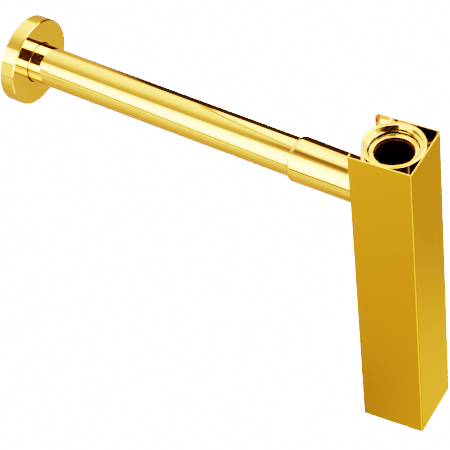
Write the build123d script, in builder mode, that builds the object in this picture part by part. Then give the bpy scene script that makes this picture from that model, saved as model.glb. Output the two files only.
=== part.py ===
from build123d import *
import os

os.makedirs("parts", exist_ok=True)

# Square bottle trap for a wash basin. The origin is the centre of the inlet, on top of the spigot that
# the basin waste is pulled down over. +Z is up along the inlet and the outlet pipe runs along -X.

# Inlet: parallel pipe thread of 1 1/4 inch in the union nut, and the collared dip tube
thread_diameter = 41.91
nut_wall = 4.0
nut_height = 17.0
nut_mouth_height = 7.2
nut_lead_in_step = 0.85
nut_lead_in_depth = 3.0
nut_relief_step = 0.5
nut_rim_radius = 1.2
nut_foot_chamfer = 1.0
nut_shoulder_clearance = 0.5
tube_wall = 1.0
collar_gap = 0.255
collar_width = 4.7
collar_thickness = 3.2
spigot_height = 2.5
spigot_bore_step = 0.7
spigot_edge_radius = 0.8
inlet_seal_width = 1.3
inlet_seal_thickness = 2.0
inlet_seal_play = 0.1
inlet_seal_edge_radius = 0.3
dip_depth = 124.0

# Bottle, its cleaning cup and the seal between them
body_diameter = 45.0
body_wall = 1.5
body_top_drop = 15.0
body_length = 178.0
body_top_thickness = 2.5
body_shoulder_radius = 3.0
braze_gap = 0.05
cup_wall = 1.4
cup_thread_clearance = 0.08
cup_thread_length = 12.0
cup_depth = 25.0
cup_floor = 3.0
cup_edge_radius = 3.0
cup_chamber_radius = 2.0
cup_seal_thickness = 2.0
cup_seal_clearance = 0.1
cup_hexagon = 22.0
cup_hexagon_height = 5.0
cup_hexagon_chamfer = 0.6

# Outlet: telescopic sleeve on the bottle's side, the pipe and its two seals
outlet_drop = 45.0
pipe_diameter = 32.0
pipe_wall = 1.0
pipe_edge_radius = 0.3
pipe_exposed = 242.0
pipe_insertion = 33.0
pipe_stub = 12.0
sleeve_clearance = 0.5
sleeve_length = 64.5
sleeve_mouth_wall = 1.95
sleeve_root_wall = 1.3
sleeve_mouth_round_length = 3.6
sleeve_mouth_round_height = 1.7
pipe_seal_section = 1.35
pipe_seal_groove_width = 2.0
pipe_seal_depths = {"outer_pipe_seal": 8.0, "inner_pipe_seal": 17.0}

# Wall flange and the ring that grips the pipe inside it
flange_diameter = 71.6
flange_thickness = 13.0
flange_wall = 1.5
flange_edge_radius = 1.2
flange_bore_gap = 0.8
flange_hub_wall = 3.2
flange_hub_setback = 2.0
flange_ring_section = 2.0
flange_ring_groove_width = 2.6
ring_fit = 0.05

# Cover, folded from one sheet, and the two guides that carry it on the bottle
sheet = 0.8
fold_radius = 1.2
foot_edge_radius = 0.5
lip_width = 4.4
foot_room = 50.0
cover_clearance = 0.35
cover_turn = 4.7
guide_height = 14.0
guide_clearance = 0.2
guide_turn_clearance = 0.08
guide_corner_radius = 2.0
guide_pocket_radius = 3.4
guide_pocket_wall = 1.5
guide_edge_chamfer = 0.8
guide_outlet_gap = 14.0
guide_cup_gap = 2.0

# Heights on the inlet axis
nut_top = nut_mouth_height
nut_foot = nut_top - nut_height
collar_top = -spigot_height
collar_foot = collar_top - collar_thickness
tube_end = collar_foot - dip_depth
body_top = -body_top_drop
body_end = body_top - body_length
cup_top = body_end + cup_thread_length
cup_seat = body_end - cup_seal_thickness
cup_floor_top = cup_seat - cup_depth
cup_foot = cup_floor_top - cup_floor
cup_bottom = cup_foot - cup_hexagon_height
cover_foot = cup_bottom - foot_room
outlet_height = -outlet_drop

# Radii about the inlet axis
thread_radius = thread_diameter / 2
nut_radius = thread_radius + nut_wall
collar_radius = thread_radius - collar_gap
tube_radius = collar_radius - collar_width
tube_bore_radius = tube_radius - tube_wall
inlet_seal_bore_radius = collar_radius - inlet_seal_width
spigot_radius = inlet_seal_bore_radius - inlet_seal_play
spigot_bore_radius = tube_bore_radius + spigot_bore_step
body_radius = body_diameter / 2
body_bore_radius = body_radius - body_wall
cup_bore_radius = body_radius + cup_thread_clearance
cup_radius = cup_bore_radius + cup_wall

# Cover and guide widths: the cover clears the wider of the nut and the cup
cover_inside = 2 * (max(nut_radius, cup_radius) + cover_clearance)
cover_width = cover_inside + 2 * sheet
cover_height = nut_top - cover_foot
cover_opening = cover_width - 2 * lip_width
guide_width = cover_inside - 2 * guide_clearance
guide_pocket_pitch = guide_width - 2 * (guide_pocket_wall + guide_pocket_radius)

# Distances along the pipe from the inlet axis, and radii about the pipe's axis
sleeve_mouth = body_radius + sleeve_length
pipe_start = sleeve_mouth - pipe_insertion
flange_front = sleeve_mouth + pipe_exposed
flange_back = flange_front + flange_thickness
pipe_end = flange_back + pipe_stub
pipe_radius = pipe_diameter / 2
pipe_bore_radius = pipe_radius - pipe_wall
sleeve_bore_radius = pipe_radius + sleeve_clearance
sleeve_mouth_radius = sleeve_bore_radius + sleeve_mouth_wall
sleeve_root_radius = sleeve_bore_radius + sleeve_root_wall
flange_radius = flange_diameter / 2
flange_bore_radius = pipe_radius + flange_bore_gap
flange_hub_radius = flange_bore_radius + flange_hub_wall
flange_hub_end = flange_back - flange_hub_setback
flange_ring_place = (flange_front + flange_hub_end) / 2

# Half-section plane of the outlet: x runs out along the pipe, y is the radius
outlet_section = Plane(origin=(0, 0, outlet_height), x_dir=(-1, 0, 0), z_dir=(0, 1, 0))
outlet_axis = Axis((0, 0, outlet_height), (-1, 0, 0))
# Plane across the pipe's axis, through the inlet axis, facing the wall
outlet_face = Plane(origin=(0, 0, outlet_height), x_dir=(0, -1, 0), z_dir=(-1, 0, 0))
# Level plane of the cover and its guides, which stand turned on the round bottle
cover_level = Plane.XY.rotated((0, 0, cover_turn))

# Union nut: turned ring with a lead-in, the thread's bore, a relief and a shoulder for the collar
with BuildPart() as union_nut:
    with BuildSketch(Plane.XZ):
        with BuildLine():
            Polyline(
                (tube_radius + nut_shoulder_clearance, nut_foot),
                (nut_radius, nut_foot),
                (nut_radius, nut_top),
                (thread_radius + nut_lead_in_step, nut_top),
                (thread_radius + nut_lead_in_step, nut_top - nut_lead_in_depth),
                (thread_radius, nut_top - nut_lead_in_depth),
                (thread_radius, 0),
                (thread_radius + nut_relief_step, 0),
                (thread_radius + nut_relief_step, collar_foot),
                (tube_radius + nut_shoulder_clearance, collar_foot),
                close=True,
            )
        make_face()
    revolve(axis=Axis.Z)
    fillet(union_nut.faces().sort_by(Axis.Z)[-1].edges(), nut_rim_radius)
    chamfer(union_nut.faces().sort_by(Axis.Z)[0].edges().sort_by(SortBy.RADIUS)[-1], nut_foot_chamfer)
union_nut.part.label = "union_nut"
export_step(union_nut.part, "parts/union_nut.step")

# Dip tube: turned tube with a collar that hangs on the nut's shoulder and a spigot that centres the waste
with BuildPart() as dip_tube:
    with BuildSketch(Plane.XZ):
        with BuildLine():
            Polyline(
                (tube_bore_radius, tube_end),
                (tube_radius, tube_end),
                (tube_radius, collar_foot),
                (collar_radius, collar_foot),
                (collar_radius, collar_top),
                (spigot_radius, collar_top),
                (spigot_radius, 0),
                (spigot_bore_radius, 0),
                (spigot_bore_radius, collar_top),
                (tube_bore_radius, collar_top - spigot_bore_step),
                close=True,
            )
        make_face()
    revolve(axis=Axis.Z)
    fillet(dip_tube.faces().sort_by(Axis.Z)[-1].edges(), spigot_edge_radius)
dip_tube.part.label = "dip_tube"
export_step(dip_tube.part, "parts/dip_tube.step")

# Inlet seal: rubber ring on the collar, round the spigot
with BuildPart() as inlet_seal:
    with BuildSketch(Plane.XY.offset(collar_top)):
        Circle(collar_radius)
        Circle(inlet_seal_bore_radius, mode=Mode.SUBTRACT)
    extrude(amount=inlet_seal_thickness)
    fillet(inlet_seal.faces().sort_by(Axis.Z)[-1].edges(), inlet_seal_edge_radius)
inlet_seal.part.label = "inlet_seal"
export_step(inlet_seal.part, "parts/inlet_seal.step")

# Bottle: drawn shell with a rounded shoulder, brazed to the dip tube, with the outlet's side hole
with BuildPart() as trap_body:
    with BuildSketch(Plane.XY.offset(body_end)):
        Circle(body_radius)
    extrude(amount=body_length)
    fillet(trap_body.faces().sort_by(Axis.Z)[-1].edges(), body_shoulder_radius)
    with BuildSketch(Plane.XY.offset(body_end)):
        Circle(body_bore_radius)
    extrude(amount=body_length - body_top_thickness, mode=Mode.SUBTRACT)
    with BuildSketch(Plane.XY.offset(body_end)):
        Circle(tube_radius + braze_gap)
    extrude(amount=body_length, mode=Mode.SUBTRACT)
    with BuildSketch(outlet_face):
        Circle(sleeve_bore_radius)
    extrude(amount=body_diameter, mode=Mode.SUBTRACT)
trap_body.part.label = "trap_body"
export_step(trap_body.part, "parts/trap_body.step")

# Cup seal: flat ring squeezed between the bottle's end and the cup's seat
with BuildPart() as cup_seal:
    with BuildSketch(Plane.XY.offset(cup_seat)):
        Circle(cup_bore_radius - cup_seal_clearance)
        Circle(body_bore_radius, mode=Mode.SUBTRACT)
    extrude(amount=cup_seal_thickness)
cup_seal.part.label = "cup_seal"
export_step(cup_seal.part, "parts/cup_seal.step")

# Cleaning cup: turned cup that screws over the bottle's end, with a hexagon for the spanner
with BuildPart() as cleaning_cup:
    with BuildSketch(Plane.XY.offset(cup_foot)):
        Circle(cup_radius)
    extrude(amount=cup_top - cup_foot)
    fillet(cleaning_cup.faces().sort_by(Axis.Z)[0].edges(), cup_edge_radius)
    with BuildSketch(Plane.XY.offset(cup_floor_top)):
        Circle(body_bore_radius)
    extrude(amount=cup_depth, mode=Mode.SUBTRACT)
    fillet(
        cleaning_cup.edges().filter_by_position(Axis.Z, cup_floor_top, cup_floor_top),
        cup_chamber_radius,
    )
    with BuildSketch(Plane.XY.offset(cup_seat)):
        Circle(cup_bore_radius)
    extrude(amount=cup_top - cup_seat, mode=Mode.SUBTRACT)
    with BuildSketch(Plane.XY.offset(cup_bottom)):
        RegularPolygon(cup_hexagon / 2, 6, major_radius=False)
    extrude(amount=cup_hexagon_height)
    chamfer(cleaning_cup.faces().sort_by(Axis.Z)[0].edges(), cup_hexagon_chamfer)
cleaning_cup.part.label = "cleaning_cup"
export_step(cleaning_cup.part, "parts/cleaning_cup.step")

# Outlet sleeve: slightly flared tube, saddle-cut to the bottle, with a round mouth and seal grooves
with BuildPart() as outlet_sleeve:
    with BuildSketch(outlet_section):
        with BuildLine():
            round_start = (sleeve_mouth - sleeve_mouth_round_length, sleeve_mouth_radius)
            round_end = (sleeve_mouth, sleeve_mouth_radius - sleeve_mouth_round_height)
            Polyline(round_end, (sleeve_mouth, sleeve_bore_radius), (0, sleeve_bore_radius))
            Polyline((0, sleeve_bore_radius), (0, sleeve_root_radius), (body_radius, sleeve_root_radius))
            Line((body_radius, sleeve_root_radius), round_start)
            EllipticalCenterArc(
                (round_start[0], round_end[1]),
                sleeve_mouth_round_length,
                sleeve_mouth_round_height,
                start_angle=0,
                arc_size=90,
            )
        make_face()
        for depth in pipe_seal_depths.values():
            with Locations((sleeve_mouth - depth, sleeve_bore_radius)):
                Rectangle(
                    pipe_seal_groove_width,
                    2 * (pipe_seal_section + 2 * ring_fit - sleeve_clearance),
                    mode=Mode.SUBTRACT,
                )
    revolve(axis=outlet_axis)
    with BuildSketch(Plane.XY.offset(body_end)):
        Circle(body_radius + braze_gap)
    extrude(amount=body_length, mode=Mode.SUBTRACT)
outlet_sleeve.part.label = "outlet_sleeve"
export_step(outlet_sleeve.part, "parts/outlet_sleeve.step")

# Two sealing rings in the sleeve's grooves
for seal_name, depth in pipe_seal_depths.items():
    with BuildPart() as pipe_seal:
        with BuildSketch(outlet_section):
            with Locations((sleeve_mouth - depth, pipe_radius + ring_fit + pipe_seal_section / 2)):
                Circle(pipe_seal_section / 2)
        revolve(axis=outlet_axis)
    pipe_seal.part.label = seal_name
    export_step(pipe_seal.part, f"parts/{seal_name}.step")

# Outlet pipe: straight drawn tube, its ends deburred
with BuildPart() as outlet_pipe:
    with BuildSketch(outlet_face.offset(pipe_start)):
        Circle(pipe_radius)
        Circle(pipe_bore_radius, mode=Mode.SUBTRACT)
    extrude(amount=pipe_end - pipe_start)
    fillet(outlet_pipe.edges().filter_by(GeomType.CIRCLE), pipe_edge_radius)
outlet_pipe.part.label = "outlet_pipe"
export_step(outlet_pipe.part, "parts/outlet_pipe.step")

# Wall flange: turned cup, open at the wall, with a grooved hub round the pipe
with BuildPart() as wall_flange:
    with BuildSketch(outlet_section):
        with BuildLine():
            Polyline(
                (flange_front, flange_bore_radius),
                (flange_front, flange_radius),
                (flange_back, flange_radius),
                (flange_back, flange_radius - flange_wall),
                (flange_front + flange_wall, flange_radius - flange_wall),
                (flange_front + flange_wall, flange_hub_radius),
                (flange_hub_end, flange_hub_radius),
                (flange_hub_end, flange_bore_radius),
                close=True,
            )
        make_face()
        with Locations((flange_ring_place, flange_bore_radius)):
            Rectangle(
                flange_ring_groove_width,
                2 * (flange_ring_section + 2 * ring_fit - flange_bore_gap),
                mode=Mode.SUBTRACT,
            )
    revolve(axis=outlet_axis)
    fillet(wall_flange.faces().sort_by(Axis.X)[-1].edges().sort_by(SortBy.RADIUS)[-1], flange_edge_radius)
wall_flange.part.label = "wall_flange"
export_step(wall_flange.part, "parts/wall_flange.step")

# Ring that grips the pipe inside the flange's hub
with BuildPart() as flange_ring:
    with BuildSketch(outlet_section):
        with Locations((flange_ring_place, pipe_radius + ring_fit + flange_ring_section / 2)):
            Circle(flange_ring_section / 2)
    revolve(axis=outlet_axis)
flange_ring.part.label = "flange_ring"
export_step(flange_ring.part, "parts/flange_ring.step")

# Cover: sheet folded round three sides with a lip at each open edge, and a closed foot
with BuildPart() as cover:
    with BuildSketch(cover_level.offset(cover_foot)):
        RectangleRounded(cover_width, cover_width, fold_radius)
    extrude(amount=cover_height)
    fillet(cover.faces().sort_by(Axis.Z)[0].edges(), foot_edge_radius)
    with BuildSketch(cover_level.offset(cover_foot + sheet)):
        RectangleRounded(cover_inside, cover_inside, fold_radius - sheet)
        with Locations((-cover_width / 2, 0)):
            Rectangle(cover_width, cover_opening)
    extrude(amount=cover_height, mode=Mode.SUBTRACT)
cover.part.label = "cover"
export_step(cover.part, "parts/cover.step")

# Guides: moulded square blocks, bored for the bottle and pierced at the corners
guide_tops = {
    "upper_guide": outlet_height - sleeve_mouth_radius - guide_outlet_gap,
    "lower_guide": cup_top + guide_cup_gap + guide_height,
}
for guide_name, guide_top in guide_tops.items():
    with BuildPart() as guide:
        with BuildSketch(cover_level.offset(guide_top - guide_height)):
            RectangleRounded(guide_width, guide_width, guide_corner_radius)
        extrude(amount=guide_height)
        chamfer(guide.edges().group_by(Axis.Z)[-1] + guide.edges().group_by(Axis.Z)[0], guide_edge_chamfer)
        with BuildSketch(cover_level.offset(guide_top - guide_height)):
            Circle(body_radius + guide_turn_clearance)
            with GridLocations(guide_pocket_pitch, guide_pocket_pitch, 2, 2):
                Circle(guide_pocket_radius)
        extrude(amount=guide_height, mode=Mode.SUBTRACT)
    guide.part.label = guide_name
    export_step(guide.part, f"parts/{guide_name}.step")
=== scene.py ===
import logging
import math
from collections.abc import Iterable, Sequence
from dataclasses import dataclass, field
from enum import Enum

import bmesh
import bpy
from bmesh.types import BMesh, BMEdge, BMVert
from mathutils import Matrix, Vector


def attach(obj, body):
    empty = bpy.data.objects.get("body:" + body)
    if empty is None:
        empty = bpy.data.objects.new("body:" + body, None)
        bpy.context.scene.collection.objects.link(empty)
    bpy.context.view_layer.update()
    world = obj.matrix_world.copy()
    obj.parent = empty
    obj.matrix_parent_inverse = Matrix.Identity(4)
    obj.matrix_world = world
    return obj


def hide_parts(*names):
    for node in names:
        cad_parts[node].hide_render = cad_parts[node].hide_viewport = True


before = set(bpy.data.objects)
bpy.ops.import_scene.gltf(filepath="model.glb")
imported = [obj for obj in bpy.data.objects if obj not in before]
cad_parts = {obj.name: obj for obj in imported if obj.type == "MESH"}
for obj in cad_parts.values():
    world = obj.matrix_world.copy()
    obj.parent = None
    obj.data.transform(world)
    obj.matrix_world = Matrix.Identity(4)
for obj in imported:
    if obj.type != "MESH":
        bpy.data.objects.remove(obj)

LOG = logging.getLogger("sink_trap")
WHITE = "#FFFFFF"
MM = 0.001
OUTLET_HEIGHT = -45.0
ROUND_STEPS = 6
TURN_STEPS = 192
SHARP_ANGLE = math.radians(35)
# Mesh points that are this close, in metres, become one point.
MERGE = 1e-7
# A mesh point that is this close to a size, in mm, lies on it.
NEAR = 0.01
# A wave texture at a scale of 1 runs through this many radians in a metre.
WAVE_RATE = 20.0

Colour = tuple[float, float, float, float]


def linear(code: str) -> Colour:
    """Turn an sRGB hex colour into linear light.

    Args:
        code: the colour as "#RRGGBB".

    Returns:
        Linear red, green and blue, and an alpha of 1.
    """
    parts = [int(code[i : i + 2], 16) / 255 for i in (1, 3, 5)]
    lit = [c / 12.92 if c <= 0.04045 else ((c + 0.055) / 1.055) ** 2.4 for c in parts]
    return (lit[0], lit[1], lit[2], 1.0)


def add_node(
    tree: bpy.types.NodeTree,
    kind: str,
    values: dict[str | int, object] | None = None,
    links: dict[str | int, bpy.types.NodeSocket] | None = None,
    **settings: object,
) -> bpy.types.Node:
    """Add a node with its settings, its fixed inputs and what feeds the others.

    Args:
        tree: the node tree it goes into.
        kind: the node's type name.
        values: fixed values by input name or number.
        links: output sockets of other nodes by input name or number.
        settings: the node's own properties.

    Returns:
        The new node.
    """
    node = tree.nodes.new(kind)
    for key, value in settings.items():
        setattr(node, key, value)
    for key, value in (values or {}).items():
        node.inputs[key].default_value = value
    for key, socket in (links or {}).items():
        tree.links.new(socket, node.inputs[key])
    return node


def set_stops(ramp: bpy.types.ColorRamp, stops: Sequence[tuple[float, Colour]]) -> None:
    """Give a colour ramp its stops.

    Args:
        ramp: the ramp to fill.
        stops: each stop's place from 0 to 1 and its colour.
    """
    while len(ramp.elements) > 1:
        ramp.elements.remove(ramp.elements[-1])
    ramp.elements[0].position = stops[0][0]
    ramp.elements[0].color = stops[0][1]
    for place, colour in stops[1:]:
        ramp.elements.new(place).color = colour


def start_material(name: str) -> tuple[bpy.types.Material, bpy.types.NodeTree, bpy.types.Node]:
    """Make an empty material with its shader.

    Args:
        name: the material's name.

    Returns:
        The material, its node tree and its principled shader.
    """
    material = bpy.data.materials.new(name)
    material.use_nodes = True
    return material, material.node_tree, material.node_tree.nodes["Principled BSDF"]


def tone_and_gloss(
    tree: bpy.types.NodeTree,
    shader: bpy.types.Node,
    tone: bpy.types.NodeSocket,
    pattern: bpy.types.NodeSocket,
    roughness: tuple[float, float],
) -> None:
    """Feed a shader its colour, and a roughness that follows a pattern.

    Args:
        tree: the material's node tree.
        shader: its principled shader.
        tone: the colour.
        pattern: the pattern, from 0 to 1.
        roughness: the roughness where the pattern is 0 and where it is 1.
    """
    gloss = add_node(
        tree,
        "ShaderNodeMapRange",
        {"To Min": roughness[0], "To Max": roughness[1]},
        {"Value": pattern},
    )
    tree.links.new(tone, shader.inputs["Base Color"])
    tree.links.new(gloss.outputs["Result"], shader.inputs["Roughness"])


@dataclass(frozen=True)
class PolishedGold:
    """Brass polished to a mirror, coated gold and lacquered.

    It gives sharp bands of the room in gold, cream where a light is mirrored, and only a trace of
    polishing haze.
    """

    name: str = "polished_gold_on_brass"
    light: str = "#FFB442"
    deep: str = "#F8A938"
    edge: str = "#FFC45A"
    haze_size: float = 14.0
    roughness: tuple[float, float] = (0.045, 0.075)
    lacquer: float = 0.45
    lacquer_roughness: float = 0.03

    def material(self) -> bpy.types.Material:
        """Build the finish from a soft haze that shifts tone and gloss a little.

        Returns:
            The material.
        """
        material, tree, shader = start_material(self.name)
        place = add_node(tree, "ShaderNodeTexCoord")
        haze = add_node(
            tree,
            "ShaderNodeTexNoise",
            {"Scale": 1 / (self.haze_size * MM), "Detail": 3.0, "Roughness": 0.55},
            {"Vector": place.outputs["Object"]},
        )
        tone = add_node(
            tree,
            "ShaderNodeMix",
            {6: linear(self.light), 7: linear(self.deep)},
            {0: haze.outputs["Fac"]},
            data_type="RGBA",
        )
        tone_and_gloss(tree, shader, tone.outputs[2], haze.outputs["Fac"], self.roughness)
        shader.inputs["Metallic"].default_value = 1.0
        shader.inputs["Specular Tint"].default_value = linear(self.edge)
        shader.inputs["Coat Weight"].default_value = self.lacquer
        shader.inputs["Coat Roughness"].default_value = self.lacquer_roughness
        return material


@dataclass(frozen=True)
class SatinGoldSheet:
    """Brass sheet with a fine vertical satin grain under a gold coat.

    It spreads reflections into soft tones that change slowly over each wall. The real grain is about
    0.05 mm wide; it is drawn at 0.35 mm so that it shows.
    """

    name: str = "satin_gold_on_sheet"
    light: str = "#D48C25"
    deep: str = "#CF8822"
    edge: str = "#FFE6B5"
    grain_width: float = 0.35
    grain_length: float = 60.0
    roughness: tuple[float, float] = (0.22, 0.27)
    ridge_strength: float = 0.02
    ridge_height: float = 0.02

    def material(self) -> bpy.types.Material:
        """Build the finish from noise that is stretched along the cover's height.

        Returns:
            The material.
        """
        material, tree, shader = start_material(self.name)
        place = add_node(tree, "ShaderNodeTexCoord")
        across = 1 / (self.grain_width * MM)
        along = 1 / (self.grain_length * MM)
        stretched = add_node(
            tree,
            "ShaderNodeMapping",
            {"Scale": (across, across, along)},
            {"Vector": place.outputs["Object"]},
        )
        grain = add_node(
            tree,
            "ShaderNodeTexNoise",
            {"Scale": 1.0, "Detail": 2.0},
            {"Vector": stretched.outputs["Vector"]},
        )
        tone = add_node(
            tree,
            "ShaderNodeMix",
            {6: linear(self.light), 7: linear(self.deep)},
            {0: grain.outputs["Fac"]},
            data_type="RGBA",
        )
        ridges = add_node(
            tree,
            "ShaderNodeBump",
            {"Strength": self.ridge_strength, "Distance": self.ridge_height * MM},
            {"Height": grain.outputs["Fac"]},
        )
        tone_and_gloss(tree, shader, tone.outputs[2], grain.outputs["Fac"], self.roughness)
        tree.links.new(ridges.outputs["Normal"], shader.inputs["Normal"])
        shader.inputs["Metallic"].default_value = 1.0
        shader.inputs["Specular Tint"].default_value = linear(self.edge)
        return material


@dataclass(frozen=True)
class TurnedBrass:
    """Brass as it leaves the lathe, dulled by handling.

    It gives a yellow metal with fine rings along its height and brown patches of tarnish. The rings
    are drawn 0.8 mm apart so that they show.
    """

    name: str = "turned_brass"
    bright: str = "#D9B45A"
    tarnish: str = "#A27430"
    ring_pitch: float = 0.8
    patch_size: float = 18.0
    roughness: tuple[float, float] = (0.28, 0.46)
    patch_edges: tuple[float, float] = (0.38, 0.72)
    groove_strength: float = 0.15
    groove_depth: float = 0.03

    def material(self) -> bpy.types.Material:
        """Build the finish from tool rings and patches of tarnish.

        Returns:
            The material.
        """
        material, tree, shader = start_material(self.name)
        place = add_node(tree, "ShaderNodeTexCoord")
        rings = add_node(
            tree,
            "ShaderNodeTexWave",
            {"Scale": math.tau / WAVE_RATE / (self.ring_pitch * MM), "Distortion": 0.3, "Detail": 1.0},
            {"Vector": place.outputs["Object"]},
            wave_type="BANDS",
            bands_direction="Z",
        )
        patches = add_node(
            tree,
            "ShaderNodeTexNoise",
            {"Scale": 1 / (self.patch_size * MM), "Detail": 4.0},
            {"Vector": place.outputs["Object"]},
        )
        tone = add_node(tree, "ShaderNodeValToRGB", links={"Fac": patches.outputs["Fac"]})
        colours = (linear(self.bright), linear(self.tarnish))
        set_stops(tone.color_ramp, list(zip(self.patch_edges, colours)))
        grooves = add_node(
            tree,
            "ShaderNodeBump",
            {"Strength": self.groove_strength, "Distance": self.groove_depth * MM},
            {"Height": rings.outputs["Fac"]},
        )
        tone_and_gloss(tree, shader, tone.outputs["Color"], patches.outputs["Fac"], self.roughness)
        tree.links.new(grooves.outputs["Normal"], shader.inputs["Normal"])
        shader.inputs["Metallic"].default_value = 1.0
        return material


@dataclass(frozen=True)
class Moulded:
    """A moulded rubber, or a moulded plastic.

    Rubber gives a dull bloom with a fine orange peel. Plastic is a little shinier, with the fine grain
    of a sparked mould. Both grains are drawn coarse enough to show.
    """

    name: str
    base: str
    bloom: str
    grain_size: float
    roughness: tuple[float, float]
    bump: float
    ior: float
    grain_height: float = 0.05
    cloud_grains: float = 20.0
    specular: float = 0.2

    def material(self) -> bpy.types.Material:
        """Build the finish from a moulded grain and a slow bloom of lighter tone.

        Returns:
            The material.
        """
        material, tree, shader = start_material(self.name)
        place = add_node(tree, "ShaderNodeTexCoord")
        grain = add_node(
            tree,
            "ShaderNodeTexNoise",
            {"Scale": 1 / (self.grain_size * MM), "Detail": 2.0},
            {"Vector": place.outputs["Object"]},
        )
        cloud = add_node(
            tree,
            "ShaderNodeTexNoise",
            {"Scale": 1 / (self.grain_size * self.cloud_grains * MM), "Detail": 3.0},
            {"Vector": place.outputs["Object"]},
        )
        tone = add_node(
            tree,
            "ShaderNodeMix",
            {6: linear(self.base), 7: linear(self.bloom)},
            {0: cloud.outputs["Fac"]},
            data_type="RGBA",
        )
        peel = add_node(
            tree,
            "ShaderNodeBump",
            {"Strength": self.bump, "Distance": self.grain_height * MM},
            {"Height": grain.outputs["Fac"]},
        )
        tone_and_gloss(tree, shader, tone.outputs[2], grain.outputs["Fac"], self.roughness)
        tree.links.new(peel.outputs["Normal"], shader.inputs["Normal"])
        shader.inputs["IOR"].default_value = self.ior
        shader.inputs["Specular IOR Level"].default_value = self.specular
        return material


class Finish(Enum):
    """The finishes of the trap. Those of a whole piece have the name of the record's material slot."""

    GOLD_POLISH = PolishedGold()
    GOLD_SHEET = SatinGoldSheet()
    # The nut's bore and thread: polished brass with less lacquer, so a softer mirror, in a darker tone that
    # is painted shade for the inside of the nut.
    BORE_BRASS_PAINTED_SHADE = PolishedGold(
        name="nut_bore_brass_painted_shade",
        light="#E2A648",
        deep="#D89A3E",
        edge="#FFC86C",
        haze_size=9.0,
        roughness=(0.06, 0.1),
        lacquer=0.2,
    )
    BARE_BRASS = TurnedBrass()
    # The dip tube's bore: nearly black, dull brass, which is painted shade for the inside of the tube.
    TUBE_BORE_PAINTED_SHADE = TurnedBrass(
        name="dark_brass_painted_shade",
        bright="#3A1E10",
        tarnish="#140806",
        patch_size=9.0,
        roughness=(0.4, 0.6),
    )
    SEAL_RUBBER = Moulded(
        name="black_nitrile_rubber",
        base="#0A0909",
        bloom="#141312",
        grain_size=0.35,
        roughness=(0.55, 0.72),
        bump=0.3,
        ior=1.52,
    )
    GUIDE_PLASTIC = Moulded(
        name="black_acetal",
        base="#08080A",
        bloom="#0D0D10",
        grain_size=0.4,
        roughness=(0.4, 0.55),
        bump=0.25,
        ior=1.48,
    )

    def slot(self) -> str:
        """Name the record's material slot, which for a bore's finish is that of the whole piece."""
        of_bore = self in (Finish.BORE_BRASS_PAINTED_SHADE, Finish.TUBE_BORE_PAINTED_SHADE)
        return (Finish.GOLD_POLISH if of_bore else self).name.lower()


class Paintbox:
    """Makes each finish once and hands it out."""

    def __init__(self) -> None:
        """Start with no finish made."""
        self.made: dict[Finish, bpy.types.Material] = {}

    def finish(self, finish: Finish) -> bpy.types.Material:
        """Give a finish's material, made at its first use.

        Args:
            finish: the finish.

        Returns:
            Its material.
        """
        if finish not in self.made:
            self.made[finish] = finish.value.material()
        return self.made[finish]

    def coat(self, piece: bpy.types.Object, finish: Finish) -> None:
        """Put a finish on every slot of a piece.

        Args:
            piece: the new piece or CAD node.
            finish: the finish it gets.
        """
        if not piece.material_slots:
            piece.data.materials.append(None)
        for slot in piece.material_slots:
            slot.material = self.finish(finish)


class Lathe(Enum):
    """The two axes that the round pieces are turned about."""

    INLET = (Vector((0, 0, 0)), Vector((0, 0, 1)), Vector((1, 0, 0)))
    OUTLET = (Vector((0, 0, OUTLET_HEIGHT)), Vector((-1, 0, 0)), Vector((0, 0, 1)))

    def place(self) -> Matrix:
        """Give the way from section space, in mm, to the row frame, in metres.

        Returns:
            The matrix of the scale, the move and the turn.
        """
        origin, along, outward = self.value
        turn = Matrix((along, outward.cross(along), outward)).transposed().to_4x4()
        return Matrix.Scale(MM, 4) @ Matrix.Translation(origin) @ turn


@dataclass(frozen=True)
class Corner:
    """A corner of a half-section: place along the axis, radius and rounding, in mm."""

    along: float
    radius: float
    rounding: float = 0.0


class TurnedSection:
    """A closed half-section in mm, rounded at its corners and turned about an axis."""

    def __init__(self) -> None:
        """Start with an empty section."""
        self.mesh: BMesh = bmesh.new()
        self.path: list[BMVert] = []

    def corner(self, corner: Corner) -> None:
        """Add a sharp corner to the path."""
        self.path.append(self.mesh.verts.new((corner.along, 0, corner.radius)))

    def outline(self, corners: Iterable[Corner]) -> "TurnedSection":
        """Add corners, close the path and round them.

        Args:
            corners: the section's corners in order.

        Returns:
            The section itself.
        """
        rounded: dict[float, list[BMVert]] = {}
        for corner in corners:
            self.corner(corner)
            if corner.rounding:
                rounded.setdefault(corner.rounding, []).append(self.path[-1])
        self.close()
        for rounding, verts in rounded.items():
            self.round(verts, rounding)
        return self

    def close(self) -> None:
        """Join the path's corners in order, and the last one to the first."""
        for start, end in zip(self.path, self.path[1:] + self.path[:1]):
            self.mesh.edges.new((start, end))

    def round(self, verts: list[BMVert], rounding: float) -> None:
        """Round corners of the closed path.

        Args:
            verts: the corners.
            rounding: the radius in mm.
        """
        bmesh.ops.bevel(
            self.mesh,
            geom=verts,
            offset=rounding,
            offset_type="OFFSET",
            segments=ROUND_STEPS,
            profile=0.5,
            affect="VERTICES",
            material=-1,
        )

    def turn(self, lathe: Lathe) -> BMesh:
        """Turn the section into a closed ring in the row frame.

        Args:
            lathe: the axis to turn about.

        Returns:
            The mesh, with its faces outwards.
        """
        bmesh.ops.spin(
            self.mesh,
            geom=self.mesh.verts[:] + self.mesh.edges[:],
            cent=(0, 0, 0),
            axis=(1, 0, 0),
            angle=math.tau,
            steps=TURN_STEPS,
            use_merge=True,
        )
        bmesh.ops.transform(self.mesh, matrix=lathe.place(), verts=self.mesh.verts)
        bmesh.ops.remove_doubles(self.mesh, verts=self.mesh.verts, dist=MERGE)
        bmesh.ops.recalc_face_normals(self.mesh, faces=self.mesh.faces)
        return self.mesh


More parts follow.
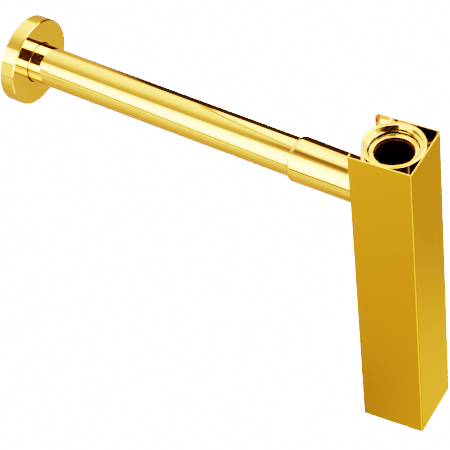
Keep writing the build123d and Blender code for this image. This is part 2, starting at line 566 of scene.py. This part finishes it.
def add_object(name: str, mesh: BMesh) -> bpy.types.Object:
    """Turn a mesh into an object of the scene.

    Args:
        name: the object's name.
        mesh: its mesh in the row frame, which is freed.

    Returns:
        The object.
    """
    data = bpy.data.meshes.new(name)
    mesh.to_mesh(data)
    mesh.free()
    made = bpy.data.objects.new(name, data)
    bpy.context.scene.collection.objects.link(made)
    return made


def finish_piece(
    name: str, mesh: BMesh, body: str, finish: Finish, box: Paintbox, node: str = ""
) -> bpy.types.Object:
    """Turn a mesh into a piece that rides on a body.

    Args:
        name: the piece's name.
        mesh: its mesh in the row frame, which is freed.
        body: the CAD body it rides on.
        finish: its finish.
        box: where the finishes are made.
        node: the CAD node it stands for, if any.

    Returns:
        The piece.
    """
    for face in mesh.faces:
        face.smooth = True
    for edge in mesh.edges:
        edge.smooth = edge.calc_face_angle(0.0) < SHARP_ANGLE
    piece = add_object(name, mesh)
    box.coat(piece, finish)
    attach(piece, body)
    if node:
        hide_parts(node)
    return piece


def even_normals(piece: bpy.types.Object) -> None:
    """Keep the flat faces of a piece flat beside its rounded edges.

    Args:
        piece: the piece, which gets a modifier for it.
    """
    weighted = piece.modifiers.new("flat_faces", "WEIGHTED_NORMAL")
    weighted.keep_sharp = True


@dataclass
class UnionNut:
    """The round nut that pulls the trap up onto the basin waste, in mm."""

    radius: float = 24.955
    top: float = 7.2
    foot: float = -9.8
    rim_rounding: float = 1.2
    foot_chamfer: float = 1.0
    lead_in_radius: float = 21.805
    lead_in_foot: float = 4.2
    thread_radius: float = 20.955
    relief_radius: float = 21.455
    shoulder_height: float = -5.7
    shoulder_radius: float = 16.5
    thread_pitch: float = 2.309
    thread_height: float = 1.4
    thread_sunk: float = 0.03
    thread_foot: float = 1.3
    root_share: float = 0.42
    crest_share: float = 0.09
    painted_shade_margin: float = 0.03

    def build(self, box: Paintbox) -> bpy.types.Object:
        """Turn the nut and polish it, with painted shade in its bore: a darker and softer brass.

        Args:
            box: where the finishes are made.

        Returns:
            The nut.
        """
        section = TurnedSection().outline(
            [
                Corner(self.foot, self.shoulder_radius),
                Corner(self.foot, self.radius - self.foot_chamfer),
                Corner(self.foot + self.foot_chamfer, self.radius),
                Corner(self.top, self.radius, self.rim_rounding),
                Corner(self.top, self.lead_in_radius, self.rim_rounding),
                Corner(self.lead_in_foot, self.lead_in_radius),
                Corner(self.lead_in_foot, self.thread_radius),
                Corner(0, self.thread_radius),
                Corner(0, self.relief_radius),
                Corner(self.shoulder_height, self.relief_radius),
                Corner(self.shoulder_height, self.shoulder_radius),
            ]
        )
        nut = finish_piece(
            "union_nut_ring", section.turn(Lathe.INLET), "nut", Finish.GOLD_POLISH, box, "union_nut"
        )
        # Painted shade: the bore's faces get a darker brass.
        nut.data.materials.append(box.finish(Finish.BORE_BRASS_PAINTED_SHADE))
        edge = (self.lead_in_radius + self.painted_shade_margin) * MM
        for face in nut.data.polygons:
            in_painted_shade = face.center.xy.length < edge and face.center.z > self.shoulder_height * MM
            face.material_index = int(in_painted_shade)
        even_normals(nut)
        return nut

    def build_thread(self, box: Paintbox) -> bpy.types.Object:
        """Wind the thread's ridge through the bore and trim it at both ends.

        Args:
            box: where the finishes are made.

        Returns:
            The ridge.
        """
        mesh = bmesh.new()
        root = self.thread_radius + self.thread_sunk
        crest = self.thread_radius - self.thread_height
        half = self.thread_pitch * self.root_share
        flat = self.thread_pitch * self.crest_share
        places = [(root, -half), (crest, -flat), (crest, flat), (root, half)]
        ridge = [mesh.verts.new((radius, 0, z - self.thread_pitch / 2)) for radius, z in places]
        sides = [mesh.edges.new(pair) for pair in zip(ridge, ridge[1:] + ridge[:1])]
        mesh.faces.new(ridge)
        turns = self.lead_in_foot / self.thread_pitch + 1
        steps = math.ceil(turns * TURN_STEPS)
        wound = bmesh.ops.spin(
            mesh,
            geom=[*ridge, *sides],
            cent=(0, 0, 0),
            axis=(0, 0, 1),
            dvec=(0, 0, self.thread_pitch / TURN_STEPS),
            angle=math.tau * steps / TURN_STEPS,
            steps=steps,
        )
        bmesh.ops.contextual_create(mesh, geom=[g for g in wound["geom_last"] if isinstance(g, BMEdge)])
        for height, keep in ((self.thread_foot, -1), (self.lead_in_foot - self.thread_sunk, 1)):
            cut = bmesh.ops.bisect_plane(
                mesh,
                geom=mesh.verts[:] + mesh.edges[:] + mesh.faces[:],
                plane_co=(0, 0, height),
                plane_no=(0, 0, keep),
                clear_outer=True,
            )
            bmesh.ops.holes_fill(mesh, edges=[g for g in cut["geom_cut"] if isinstance(g, BMEdge)])
        bmesh.ops.scale(mesh, vec=(MM, MM, MM), verts=mesh.verts)
        bmesh.ops.remove_doubles(mesh, verts=mesh.verts, dist=MERGE)
        bmesh.ops.recalc_face_normals(mesh, faces=mesh.faces)
        # The thread gets the bore's darker brass, which is painted shade.
        return finish_piece("union_nut_thread", mesh, "nut", Finish.BORE_BRASS_PAINTED_SHADE, box)


@dataclass
class DipTube:
    """The tube that hangs in the nut: bright at its spigot, with painted shade in its bore, in mm."""

    bore: float = 15.0
    radius: float = 16.0
    end: float = -129.7
    collar_foot: float = -5.7
    collar_top: float = -2.5
    collar_radius: float = 20.7
    spigot_radius: float = 19.3
    spigot_bore: float = 15.7
    spigot_rounding: float = 0.8
    painted_shade_line: float = -0.9

    def build(self, box: Paintbox) -> bpy.types.Object:
        """Turn the tube, polish it and paint shade into its bore.

        Args:
            box: where the finishes are made.

        Returns:
            The tube.
        """
        section = TurnedSection().outline(
            [
                Corner(self.end, self.bore),
                Corner(self.end, self.radius),
                Corner(self.collar_foot, self.radius),
                Corner(self.collar_foot, self.collar_radius),
                Corner(self.collar_top, self.collar_radius),
                Corner(self.collar_top, self.spigot_radius),
                Corner(0, self.spigot_radius, self.spigot_rounding),
                Corner(0, self.spigot_bore, self.spigot_rounding),
                Corner(self.painted_shade_line, self.spigot_bore),
                Corner(self.collar_top, self.spigot_bore),
                Corner(self.collar_top - self.spigot_bore + self.bore, self.bore),
            ]
        )
        tube = finish_piece(
            "dip_tube_turned", section.turn(Lathe.INLET), "trap", Finish.GOLD_POLISH, box, "dip_tube"
        )
        # Painted shade: the bore below the shade line gets nearly black brass.
        tube.data.materials.append(box.finish(Finish.TUBE_BORE_PAINTED_SHADE))
        edge = (self.spigot_bore + NEAR) * MM
        for face in tube.data.polygons:
            in_painted_shade = face.center.xy.length < edge and face.center.z < self.painted_shade_line * MM
            face.material_index = int(in_painted_shade)
        even_normals(tube)
        return tube


@dataclass
class OutletPipework:
    """The sleeve on the bottle and the pipe that slides in it, in mm from the inlet's axis."""

    bottle_radius: float = 22.55
    sleeve_mouth: float = 87.0
    sleeve_bore: float = 16.5
    root_radius: float = 17.8
    mouth_radius: float = 18.45
    nose_length: float = 3.6
    nose_height: float = 1.7
    groove_width: float = 2.0
    groove_radius: float = 17.45
    groove_depths: tuple[float, float] = (8.0, 17.0)
    pipe_start: float = 54.0
    pipe_end: float = 354.0
    pipe_radius: float = 16.0
    pipe_bore: float = 15.0
    pipe_rounding: float = 0.3

    def grooves(self) -> list[Corner]:
        """List the corners of the two seal grooves, from the mouth inwards.

        Returns:
            The corners in order.
        """
        corners: list[Corner] = []
        for depth in self.groove_depths:
            near = self.sleeve_mouth - depth + self.groove_width / 2
            far = near - self.groove_width
            corners += [
                Corner(near, self.sleeve_bore),
                Corner(near, self.groove_radius),
                Corner(far, self.groove_radius),
                Corner(far, self.sleeve_bore),
            ]
        return corners

    def build_sleeve(self, box: Paintbox) -> bpy.types.Object:
        """Turn the sleeve with its long rounded nose, and cut its root to the bottle.

        Args:
            box: where the finishes are made.

        Returns:
            The sleeve.
        """
        section = TurnedSection()
        nose_start = self.sleeve_mouth - self.nose_length
        centre = Vector((nose_start, 0, self.mouth_radius - self.nose_height))
        first = section.mesh.verts.new(centre + Vector((0, 0, self.nose_length)))
        made = bmesh.ops.spin(
            section.mesh,
            geom=[first],
            cent=centre,
            axis=(0, 1, 0),
            angle=math.pi / 2,
            steps=2 * ROUND_STEPS,
        )
        last = made["geom_last"][0]
        bmesh.ops.scale(
            section.mesh,
            vec=(1, 1, self.nose_height / self.nose_length),
            space=Matrix.Translation(-centre),
            verts=section.mesh.verts,
        )
        section.path = [last]
        for corner in [Corner(self.sleeve_mouth, self.sleeve_bore), *self.grooves()]:
            section.corner(corner)
        section.corner(Corner(self.bottle_radius, self.sleeve_bore))
        section.corner(Corner(self.bottle_radius, self.root_radius))
        section.path.append(first)
        for start, end in zip(section.path, section.path[1:]):
            section.mesh.edges.new((start, end))
        mesh = section.turn(Lathe.OUTLET)
        root = [v for v in mesh.verts if v.co.x > -(self.bottle_radius + NEAR) * MM]
        for vert in root:
            vert.co.x = -math.sqrt((self.bottle_radius * MM) ** 2 - vert.co.y**2)
        sleeve = finish_piece("outlet_sleeve_tube", mesh, "trap", Finish.GOLD_POLISH, box, "outlet_sleeve")
        even_normals(sleeve)
        return sleeve

    def build_pipe(self, box: Paintbox) -> bpy.types.Object:
        """Turn the pipe with deburred ends.

        Args:
            box: where the finishes are made.

        Returns:
            The pipe.
        """
        section = TurnedSection().outline(
            [
                Corner(self.pipe_start, self.pipe_bore, self.pipe_rounding),
                Corner(self.pipe_end, self.pipe_bore, self.pipe_rounding),
                Corner(self.pipe_end, self.pipe_radius, self.pipe_rounding),
                Corner(self.pipe_start, self.pipe_radius, self.pipe_rounding),
            ]
        )
        pipe = finish_piece(
            "outlet_pipe_tube", section.turn(Lathe.OUTLET), "pipe", Finish.GOLD_POLISH, box, "outlet_pipe"
        )
        even_normals(pipe)
        return pipe


@dataclass
class WallFlange:
    """The round flange at the wall, in mm from the inlet's axis."""

    front: float = 329.0
    back: float = 342.0
    radius: float = 35.8
    wall: float = 1.5
    edge_rounding: float = 1.2
    back_rounding: float = 0.2
    bore: float = 16.8
    bore_rounding: float = 0.25
    hub_radius: float = 20.0
    hub_end: float = 340.0
    groove_place: float = 334.5
    groove_width: float = 2.6
    groove_radius: float = 18.1

    def build(self, box: Paintbox) -> bpy.types.Object:
        """Turn the flange with its hollow back and grooved hub.

        Args:
            box: where the finishes are made.

        Returns:
            The flange.
        """
        inner = self.front + self.wall
        near = self.groove_place - self.groove_width / 2
        far = self.groove_place + self.groove_width / 2
        section = TurnedSection().outline(
            [
                Corner(self.front, self.bore, self.bore_rounding),
                Corner(self.front, self.radius, self.edge_rounding),
                Corner(self.back, self.radius, self.back_rounding),
                Corner(self.back, self.radius - self.wall, self.back_rounding),
                Corner(inner, self.radius - self.wall),
                Corner(inner, self.hub_radius),
                Corner(self.hub_end, self.hub_radius),
                Corner(self.hub_end, self.bore),
                Corner(far, self.bore),
                Corner(far, self.groove_radius),
                Corner(near, self.groove_radius),
                Corner(near, self.bore),
            ]
        )
        flange = finish_piece(
            "wall_flange_rose", section.turn(Lathe.OUTLET), "flange", Finish.GOLD_POLISH, box, "wall_flange"
        )
        even_normals(flange)
        return flange


@dataclass
class FoldedCover:
    """The square cover, folded from one sheet and turned a little on the bottle, in mm."""

    width: float = 52.21
    sheet: float = 0.8
    fold: float = 1.2
    lip: float = 4.4
    top: float = 7.2
    foot: float = -278.0
    foot_rounding: float = 0.5
    foot_steps: int = 3
    turned: float = 4.7
    edge_break: float = 0.12
    edge_steps: int = 2
    edge_angle: float = 50.0

    def fold_line(self, mesh: BMesh) -> list[BMEdge]:
        """Lay out the folded line at the foot, from lip to lip, with its bends rounded.

        Args:
            mesh: the empty mesh it goes into, which also gets the edge across the open side.

        Returns:
            The line's edges.
        """
        half = self.width / 2
        end = half - self.lip
        places = [(-half, end), (-half, half), (half, half), (half, -half), (-half, -half), (-half, -end)]
        corners = [mesh.verts.new((x, y, self.foot)) for x, y in places]
        for start, stop in zip(corners, corners[1:]):
            mesh.edges.new((start, stop))
        bmesh.ops.bevel(
            mesh,
            geom=corners[1:-1],
            offset=self.fold,
            offset_type="OFFSET",
            segments=ROUND_STEPS,
            profile=0.5,
            affect="VERTICES",
            material=-1,
        )
        folded = mesh.edges[:]
        mesh.edges.new((corners[-1], corners[0]))
        return folded

    def build(self, box: Paintbox) -> bpy.types.Object:
        """Fold the sheet, close its foot and give it its thickness.

        Args:
            box: where the finishes are made.

        Returns:
            The cover.
        """
        mesh = bmesh.new()
        folded = self.fold_line(mesh)
        bmesh.ops.contextual_create(mesh, geom=mesh.edges[:])
        walls = bmesh.ops.extrude_edge_only(mesh, edges=folded)
        raised = [g for g in walls["geom"] if isinstance(g, BMVert)]
        bmesh.ops.translate(mesh, vec=(0, 0, self.top - self.foot), verts=raised)
        bmesh.ops.recalc_face_normals(mesh, faces=mesh.faces)
        bmesh.ops.bevel(
            mesh,
            geom=folded,
            offset=self.foot_rounding,
            offset_type="OFFSET",
            segments=self.foot_steps,
            profile=0.5,
            affect="EDGES",
            material=-1,
        )
        turn = Matrix.Scale(MM, 4) @ Matrix.Rotation(math.radians(self.turned), 4, "Z")
        bmesh.ops.transform(mesh, matrix=turn, verts=mesh.verts)
        bmesh.ops.remove_doubles(mesh, verts=mesh.verts, dist=MERGE)
        cover = finish_piece("folded_cover", mesh, "cover", Finish.GOLD_SHEET, box, "cover")
        cover.data.materials.append(box.finish(Finish.GOLD_POLISH))
        thick = cover.modifiers.new("sheet", "SOLIDIFY")
        thick.thickness = self.sheet * MM
        thick.offset = -1
        thick.use_even_offset = True
        thick.material_offset = 1
        thick.material_offset_rim = 1
        broken = cover.modifiers.new("broken_edges", "BEVEL")
        broken.width = self.edge_break * MM
        broken.segments = self.edge_steps
        broken.limit_method = "ANGLE"
        broken.angle_limit = math.radians(self.edge_angle)
        even_normals(cover)
        return cover


@dataclass
class TrapInside:
    """The CAD pieces that show as they are, with the finish each one gets."""

    finishes: dict[str, Finish] = field(
        default_factory=lambda: {
            "trap_body": Finish.BARE_BRASS,
            "cleaning_cup": Finish.BARE_BRASS,
            "inlet_seal": Finish.SEAL_RUBBER,
            "cup_seal": Finish.SEAL_RUBBER,
            "outer_pipe_seal": Finish.SEAL_RUBBER,
            "inner_pipe_seal": Finish.SEAL_RUBBER,
            "flange_ring": Finish.SEAL_RUBBER,
            "upper_guide": Finish.GUIDE_PLASTIC,
            "lower_guide": Finish.GUIDE_PLASTIC,
        }
    )

    def dress(self, box: Paintbox) -> list[bpy.types.Object]:
        """Put its finish on each CAD piece.

        Args:
            box: where the finishes are made.

        Returns:
            The pieces.
        """
        for node, finish in self.finishes.items():
            box.coat(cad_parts[node], finish)
        return [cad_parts[node] for node in self.finishes]


@dataclass(frozen=True)
class Spot:
    """A round card in the studio: its direction, its edges in degrees and its brightness."""

    towards: tuple[float, float, float]
    inner: float
    outer: float
    level: float


class Stand(Enum):
    """How a card stands: level, level but turned 23 degrees, upright, or upright but leaning 39 degrees."""

    FLAT = (Vector((1, 0, 0)), Vector((0, 1, 0)))
    SLANTED = (Vector((0.922, 0.387, 0)), Vector((-0.387, 0.922, 0)))
    UPRIGHT = (Vector((1, 0, 0)), Vector((0, 0, 1)))
    LEANING = (Vector((0.78, 0, -0.625)), Vector((0.625, 0, 0.78)))


@dataclass(frozen=True)
class Card:
    """A soft-edged card that only mirrors show, in mm: a light, or a dark flag."""

    name: str
    stand: Stand
    centre: tuple[float, float, float]
    half: tuple[float, float]
    soft: tuple[float, float]
    glow: float

    def mask(self, tree: bpy.types.NodeTree) -> bpy.types.NodeSocket:
        """Fade the card out towards its edges.

        Args:
            tree: the node tree of the card's material.

        Returns:
            The share of the card at each point, from 0 to 1.
        """
        place = add_node(tree, "ShaderNodeTexCoord")
        shares: list[bpy.types.NodeSocket] = []
        for axis, half, soft in zip(self.stand.value, self.half, self.soft):
            along = add_node(
                tree,
                "ShaderNodeVectorMath",
                {1: axis},
                {0: place.outputs["Object"]},
                operation="DOT_PRODUCT",
            )
            middle = Vector(self.centre).dot(axis) * MM
            off = add_node(
                tree, "ShaderNodeMath", {1: middle}, {0: along.outputs["Value"]}, operation="SUBTRACT"
            )
            far = add_node(tree, "ShaderNodeMath", links={0: off.outputs[0]}, operation="ABSOLUTE")
            share = add_node(
                tree,
                "ShaderNodeMapRange",
                {"From Min": half * MM, "From Max": (half - soft) * MM},
                {"Value": far.outputs[0]},
                interpolation_type="SMOOTHSTEP",
            )
            shares.append(share.outputs["Result"])
        both = add_node(tree, "ShaderNodeMath", links={0: shares[0], 1: shares[1]}, operation="MULTIPLY")
        return both.outputs[0]

    def build(self) -> None:
        """Cut the card and hang it in the studio."""
        mesh = bmesh.new()
        across, up = self.stand.value
        turn = Matrix((across * self.half[0], up * self.half[1], across.cross(up))).transposed().to_4x4()
        place = Matrix.Scale(MM, 4) @ Matrix.Translation(self.centre) @ turn
        bmesh.ops.create_grid(mesh, x_segments=1, y_segments=1, size=1.0, matrix=place)
        card = add_object(self.name, mesh)
        material = bpy.data.materials.new(self.name)
        material.use_nodes = True
        tree = material.node_tree
        tree.nodes.clear()
        clear = add_node(tree, "ShaderNodeBsdfTransparent")
        light = add_node(tree, "ShaderNodeEmission", {"Strength": self.glow})
        mix = add_node(
            tree,
            "ShaderNodeMixShader",
            links={0: self.mask(tree), 1: clear.outputs[0], 2: light.outputs[0]},
        )
        add_node(tree, "ShaderNodeOutputMaterial", links={"Surface": mix.outputs[0]})
        card.data.materials.append(material)
        card.visible_camera = False
        card.visible_diffuse = False
        card.visible_shadow = False


@dataclass
class Studio:
    """Pale floor, soft strip lights round the pipe's axis, and the camera, in mm and degrees.

    Each band is an angle round the pipe's axis and the brightness there: 0 is the horizon in front, 90 is
    straight up and 180 is the horizon behind. Past each echo depth, light has met one gold face more: two,
    three and four.
    """

    floor_height: float = -470.0
    floor_size: float = 9000.0
    floor_colour: str = "#F4F3F0"
    floor_mottle: float = 333.0
    floor_roughness: float = 0.9
    floor_glow: float = 9.0
    azimuth: float = 36.79
    elevation: float = 44.637
    roll: float = -6.462
    distance: float = 2067.4
    focal_pixels: float = 2721.5
    image_width: float = 450.0
    sensor: float = 36.0
    clip: tuple[float, float] = (50.0, 60000.0)
    target: tuple[float, float, float] = (-111.71, -68.34, -68.35)
    view_transform: str = "Filmic"
    contrast: str = "High Contrast"
    strength: float = 16.0
    echo_depths: tuple[float, ...] = (2.5, 3.5, 4.5)
    echo_gain: tuple[float, float, float] = (1.0, 1.8, 10.0)
    spots: tuple[Spot, ...] = (
        Spot((0.43, 0.52, 0.74), 22.0, 28.0, 0.9),
        Spot((0.43, -0.85, 0.30), 18.0, 25.0, 1.1),
        Spot((0.43, -0.25, 0.86), 18.0, 24.0, 0.003),
        Spot((0.43, -0.63, 0.65), 18.0, 22.0, 0.003),
        Spot((0.426, -0.570, -0.703), 6.0, 20.0, 0.30),
        Spot((0.33, 0.63, -0.70), 8.0, 30.0, 0.050),
    )
    cards: tuple[Card, ...] = (
        Card("back_flag", Stand.UPRIGHT, (-105.0, 500.0, 10.0), (460.0, 222.0), (80.0, 16.0), 0.05),
        Card("upper_flag", Stand.FLAT, (-230.0, -160.0, 500.0), (190.0, 115.0), (110.0, 50.0), 0.3),
        Card("top_card", Stand.SLANTED, (-450.0, 517.0, 500.0), (70.0, 600.0), (4.0, 100.0), 6.5),
        Card("top_card_edge", Stand.SLANTED, (-515.0, 490.0, 499.0), (12.0, 600.0), (5.0, 100.0), 0.4),
        Card("front_card", Stand.FLAT, (-330.0, -620.0, -460.0), (330.0, 330.0), (280.0, 280.0), 1.4),
        Card("foot_flag", Stand.FLAT, (-150.0, -165.0, -460.0), (110.0, 85.0), (80.0, 60.0), 0.35),
        Card("pipe_flag", Stand.LEANING, (-585.0, -600.0, -131.6), (300.0, 85.0), (100.0, 6.0), 2.2),
        Card("pipe_flag_edge", Stand.LEANING, (-527.0, -599.0, -59.0), (300.0, 30.0), (100.0, 6.0), 0.02),
        Card("rim_flag", Stand.UPRIGHT, (-700.0, -597.0, -30.0), (50.0, 185.0), (6.0, 8.0), 2.2),
        Card("rim_flag_edge", Stand.UPRIGHT, (-700.0, -596.0, 158.0), (50.0, 16.0), (6.0, 4.0), 0.02),
        Card("right_card", Stand.FLAT, (110.0, 170.0, -460.0), (200.0, 200.0), (180.0, 180.0), 1.45),
    )
    bands: tuple[tuple[float, float], ...] = (
        (-180.0, 0.045),
        (-129.0, 0.045),
        (-70.0, 0.050),
        (-47.0, 0.058),
        (-30.0, 0.092),
        (-20.0, 0.110),
        (-17.5, 0.006),
        (-12.0, 0.006),
        (-9.0, 0.600),
        (14.0, 1.000),
        (52.0, 0.500),
        (57.0, 0.052),
        (72.0, 0.052),
        (84.0, 0.085),
        (97.0, 0.160),
        (120.0, 0.230),
        (147.0, 0.250),
        (155.0, 0.060),
        (180.0, 0.045),
    )

    def build_floor(self) -> None:
        """Lay the plain pale floor, which mirrors leave out."""
        mesh = bmesh.new()
        bmesh.ops.create_grid(mesh, x_segments=4, y_segments=4, size=self.floor_size / 2 * MM)
        bmesh.ops.translate(mesh, vec=(0, 0, self.floor_height * MM), verts=mesh.verts)
        floor = add_object("floor", mesh)
        # Matt paint gives an even white with a hint of mottle, and no shine.
        material, tree, shader = start_material("pale_paint")
        place = add_node(tree, "ShaderNodeTexCoord")
        mottle = add_node(
            tree,
            "ShaderNodeTexNoise",
            {"Scale": 1 / (self.floor_mottle * MM)},
            {"Vector": place.outputs["Object"]},
        )
        tone = add_node(
            tree,
            "ShaderNodeMix",
            {6: linear(self.floor_colour), 7: linear(WHITE)},
            {0: mottle.outputs["Fac"]},
            data_type="RGBA",
        )
        tree.links.new(tone.outputs[2], shader.inputs["Base Color"])
        shader.inputs["Roughness"].default_value = self.floor_roughness
        shader.inputs["Emission Color"].default_value = linear(WHITE)
        shader.inputs["Emission Strength"].default_value = self.floor_glow
        floor.data.materials.append(material)
        floor.visible_glossy = False

    def light_bands(self, tree: bpy.types.NodeTree, look: bpy.types.NodeSocket) -> bpy.types.NodeSocket:
        """Set the brightness by the angle round the pipe's axis.

        Args:
            tree: the world's node tree.
            look: the direction that is looked in.

        Returns:
            The brightness in that direction.
        """
        parts = add_node(tree, "ShaderNodeSeparateXYZ", links={0: look})
        front = add_node(tree, "ShaderNodeMath", {1: -1.0}, {0: parts.outputs["Y"]}, operation="MULTIPLY")
        angle = add_node(
            tree,
            "ShaderNodeMath",
            links={0: parts.outputs["Z"], 1: front.outputs[0]},
            operation="ARCTAN2",
        )
        turn = add_node(
            tree,
            "ShaderNodeMapRange",
            {"From Min": -math.pi, "From Max": math.pi},
            {"Value": angle.outputs[0]},
        )
        ramp = add_node(tree, "ShaderNodeValToRGB", links={"Fac": turn.outputs["Result"]})
        stops = [((degrees + 180) / 360, (level, level, level, 1.0)) for degrees, level in self.bands]
        set_stops(ramp.color_ramp, stops)
        return ramp.outputs["Color"]

    def light_spots(
        self, tree: bpy.types.NodeTree, look: bpy.types.NodeSocket, level: bpy.types.NodeSocket
    ) -> bpy.types.NodeSocket:
        """Hang the round cards in front of the bands.

        Args:
            tree: the world's node tree.
            look: the direction that is looked in.
            level: the brightness of the bands.

        Returns:
            The brightness with the round cards.
        """
        for spot in self.spots:
            facing = add_node(
                tree,
                "ShaderNodeVectorMath",
                {1: Vector(spot.towards).normalized()},
                {0: look},
                operation="DOT_PRODUCT",
            )
            outer, inner = (math.cos(math.radians(edge)) for edge in (spot.outer, spot.inner))
            share = add_node(
                tree,
                "ShaderNodeMapRange",
                {"From Min": outer, "From Max": inner},
                {"Value": facing.outputs["Value"]},
                interpolation_type="SMOOTHSTEP",
            )
            lit = add_node(
                tree,
                "ShaderNodeMix",
                {7: (spot.level, spot.level, spot.level, 1.0)},
                {0: share.outputs["Result"], 6: level},
                data_type="RGBA",
            )
            level = lit.outputs[2]
        return level

    def cool_echoes(
        self, tree: bpy.types.NodeTree, depth: bpy.types.NodeSocket, level: bpy.types.NodeSocket
    ) -> bpy.types.NodeSocket:
        """Cool the light that comes over two or more gold faces.

        Gold that is mirrored in gold then keeps the tone of gold that is seen directly.

        Args:
            tree: the world's node tree.
            depth: the ray's depth, which grows with each face that it meets.
            level: the brightness of bands and round cards.

        Returns:
            The brightness with its echoes cooled.
        """
        for limit in self.echo_depths:
            echo = add_node(tree, "ShaderNodeMath", {1: limit}, {0: depth}, operation="GREATER_THAN")
            cooled = add_node(
                tree,
                "ShaderNodeMix",
                {7: (*self.echo_gain, 1.0)},
                {0: echo.outputs[0], 6: level},
                data_type="RGBA",
                blend_type="MULTIPLY",
            )
            level = cooled.outputs[2]
        return level

    def build_light(self) -> None:
        """Light the studio for mirrors, with a white backdrop for the camera."""
        world = bpy.data.worlds.new("studio")
        bpy.context.scene.world = world
        world.use_nodes = True
        tree = world.node_tree
        tree.nodes.clear()
        look = add_node(tree, "ShaderNodeTexCoord").outputs["Generated"]
        path = add_node(tree, "ShaderNodeLightPath")
        bright = self.light_spots(tree, look, self.light_bands(tree, look))
        cooled = self.cool_echoes(tree, path.outputs["Ray Depth"], bright)
        strips = add_node(tree, "ShaderNodeBackground", {"Strength": self.strength}, {"Color": cooled})
        backdrop = add_node(
            tree, "ShaderNodeBackground", {"Color": linear(WHITE), "Strength": self.strength}
        )
        mix = add_node(
            tree,
            "ShaderNodeMixShader",
            links={0: path.outputs["Is Camera Ray"], 1: strips.outputs[0], 2: backdrop.outputs[0]},
        )
        add_node(tree, "ShaderNodeOutputWorld", links={"Surface": mix.outputs[0]})

    def build_camera(self) -> None:
        """Stand the camera where the picture was taken from."""
        data = bpy.data.cameras.new("camera")
        data.sensor_width = self.sensor
        data.lens = self.focal_pixels / self.image_width * self.sensor
        data.clip_start, data.clip_end = (distance * MM for distance in self.clip)
        camera = bpy.data.objects.new("camera", data)
        bpy.context.scene.collection.objects.link(camera)
        turn, tilt, roll = (math.radians(a) for a in (self.azimuth, self.elevation, self.roll))
        back = Vector((math.sin(turn) * math.cos(tilt), -math.cos(turn) * math.cos(tilt), math.sin(tilt)))
        right = Vector((math.cos(turn), math.sin(turn), 0))
        up = back.cross(right)
        across = right * math.cos(roll) + up * math.sin(roll)
        above = up * math.cos(roll) - right * math.sin(roll)
        place = Matrix((across, above, back)).transposed().to_4x4()
        place.translation = (Vector(self.target) + back * self.distance) * MM
        camera.matrix_world = place
        bpy.context.scene.camera = camera

    def build(self) -> None:
        """Set up floor, light and camera."""
        self.build_floor()
        for card in self.cards:
            card.build()
        self.build_light()
        self.build_camera()
        bpy.context.scene.view_settings.view_transform = self.view_transform
        bpy.context.scene.view_settings.look = self.contrast


def main() -> None:
    """Build the trap's looks and report each piece, then build the studio."""
    logging.basicConfig(level=logging.INFO, format="%(message)s")
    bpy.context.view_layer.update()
    box = Paintbox()
    nut = UnionNut()
    pipework = OutletPipework()
    pieces = [
        nut.build(box),
        nut.build_thread(box),
        DipTube().build(box),
        pipework.build_sleeve(box),
        pipework.build_pipe(box),
        WallFlange().build(box),
        FoldedCover().build(box),
        *TrapInside().dress(box),
    ]
    for piece in pieces:
        LOG.info("%s: %d faces in %s", piece.name, len(piece.data.polygons), piece.material_slots[0].name)
    Studio().build()


if __name__ == "__main__":
    main()
